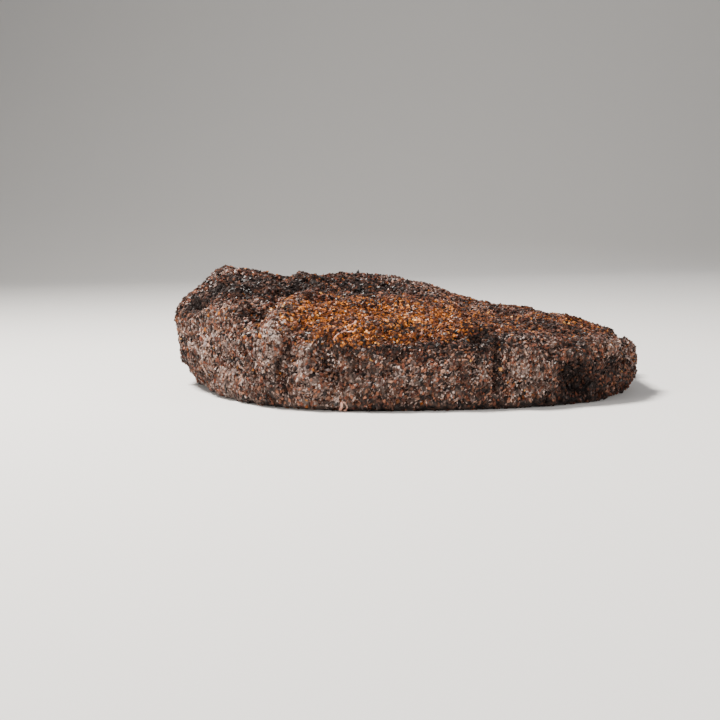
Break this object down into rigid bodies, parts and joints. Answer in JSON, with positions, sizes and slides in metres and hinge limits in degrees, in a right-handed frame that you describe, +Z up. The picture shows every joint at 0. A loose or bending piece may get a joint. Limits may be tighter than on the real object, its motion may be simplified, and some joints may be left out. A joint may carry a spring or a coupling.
{
  "type": "smoked beef brisket",
  "caption": "Whole smoked beef brisket with a dark, coarse spice bark: a thick rounded point end, a fold, and a flat that thins to a blunt edge; lies on its flat underside.",
  "frame": {"origin": "middle of the box round the brisket, on the plane that its flat underside rests on", "axes": "+X from the thick point end to the thin flat end, +Y from the long front side to the rear side, +Z up from the rest plane"},
  "size_m": [0.3216, 0.2602, 0.0869],
  "materials": {
    "bark": null,
    "pepper": "coarse charred black pepper and bark crumbs",
    "golden_spice": "toasted golden mustard and sugar grains, slightly glazed",
    "red_spice": "red-brown dried chilli flakes and toasted crumbs",
    "pale_grain": "pale salt, garlic and ash grains",
    "fat": "rendered fat and sinew, slightly moist"
  },
  "bodies": {
    "root": {"brisket": "bark"}
  },
  "joints": []
}
